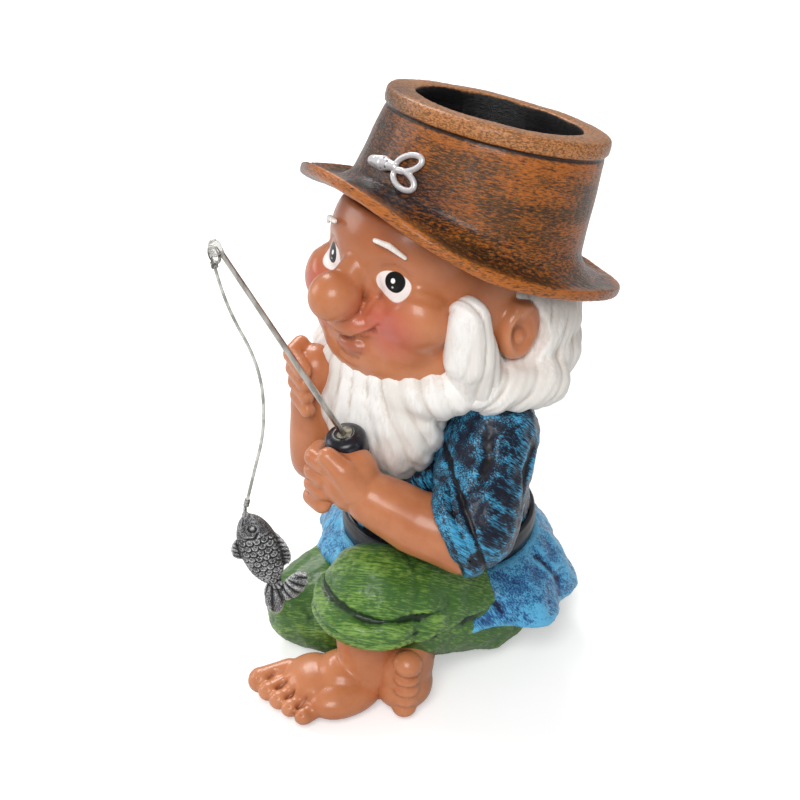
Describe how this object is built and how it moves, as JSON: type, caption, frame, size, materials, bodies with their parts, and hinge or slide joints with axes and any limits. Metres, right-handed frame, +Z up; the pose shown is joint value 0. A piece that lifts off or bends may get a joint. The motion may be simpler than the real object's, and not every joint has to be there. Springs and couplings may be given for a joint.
{
  "type": "garden gnome",
  "caption": "Seated garden gnome that fishes with a wire rod, its open-topped hat a small planter; the rod turns and lifts out, and the line and fish swing.",
  "frame": {"origin": "on the ground under the middle of the seat", "axes": "+Z up, the gnome looks along -Y, and his own left side is +X"},
  "size_m": [0.1157, 0.1527, 0.1971],
  "materials": {
    "hat_paint": "painted cast resin, brown dry-brushed over dark navy",
    "silver_paint": "painted cast resin, silver",
    "dowel_steel": "plain steel dowel",
    "skin_paint": "painted cast resin, glossy terracotta skin",
    "hair_paint": "painted cast resin, off-white",
    "shirt_paint": "painted cast resin, navy dry-brushed bright blue",
    "belt_paint": "painted cast resin, dark brown",
    "trouser_paint": "painted cast resin, dark green dry-brushed light green",
    "base_resin": "unpainted cast resin",
    "pad_felt": "black felt",
    "grip_paint": "painted cast resin, navy black",
    "bushing_plastic": "pale moulded plastic",
    "rod_wire": "drawn steel wire, dull",
    "clear_glue": "clear set glue",
    "nylon": "clear nylon monofilament",
    "ring_wire": "bright steel wire",
    "fish_paint": "painted cast resin, black with silver dry-brushed scales"
  },
  "bodies": {
    "gnome": {"hat": "hat_paint", "fly_ornament": "silver_paint", "hat_dowel": "dowel_steel", "head": "skin_paint", "hair": "hair_paint", "beard": "hair_paint", "shirt_body": "shirt_paint", "belt": "belt_paint", "shirt_hem": "shirt_paint", "left_sleeve": "shirt_paint", "right_sleeve": "shirt_paint", "left_arm": "skin_paint", "right_arm": "skin_paint", "left_arm_dowel": "dowel_steel", "right_arm_dowel": "dowel_steel", "trousers_seat": "trouser_paint", "left_trouser_leg": "trouser_paint", "right_trouser_leg": "trouser_paint", "left_leg": "skin_paint", "right_leg": "skin_paint", "left_leg_dowel": "dowel_steel", "right_leg_dowel": "dowel_steel", "base_plate": "base_resin", "base_felt": "pad_felt", "rod_grip": "grip_paint"},
    "bushing": {"rod_bushing": "bushing_plastic"},
    "rod_wire": {"rod": "rod_wire", "tip_bead": "clear_glue"},
    "line": {"line_loop": "nylon", "fishing_line": "nylon", "fish_ring": "ring_wire"},
    "fish": {"fish": "fish_paint"}
  },
  "joints": [
    {"name": "rod_turn", "type": "hinge", "parent": "gnome", "child": "bushing", "pos_m": [0.008, -0.05, 0.0965], "axis": [-0.0901, -0.4637, 0.8814], "range_deg": [-18, 25]},
    {"name": "rod_lift", "type": "slide", "parent": "bushing", "child": "rod_wire", "axis": [-0.0901, -0.4637, 0.8814], "range_m": [0, 0.014]},
    {"name": "line_swing", "type": "hinge", "parent": "rod_wire", "child": "line", "pos_m": [-0.00001, -0.09193, 0.17448], "axis": [1, 0, 0], "range_deg": [-35, 4]},
    {"name": "fish_swing", "type": "hinge", "parent": "line", "child": "fish", "pos_m": [0.00358, -0.08794, 0.08044], "axis": [0.7431, -0.6691, 0], "range_deg": [-30, 14]}
  ]
}
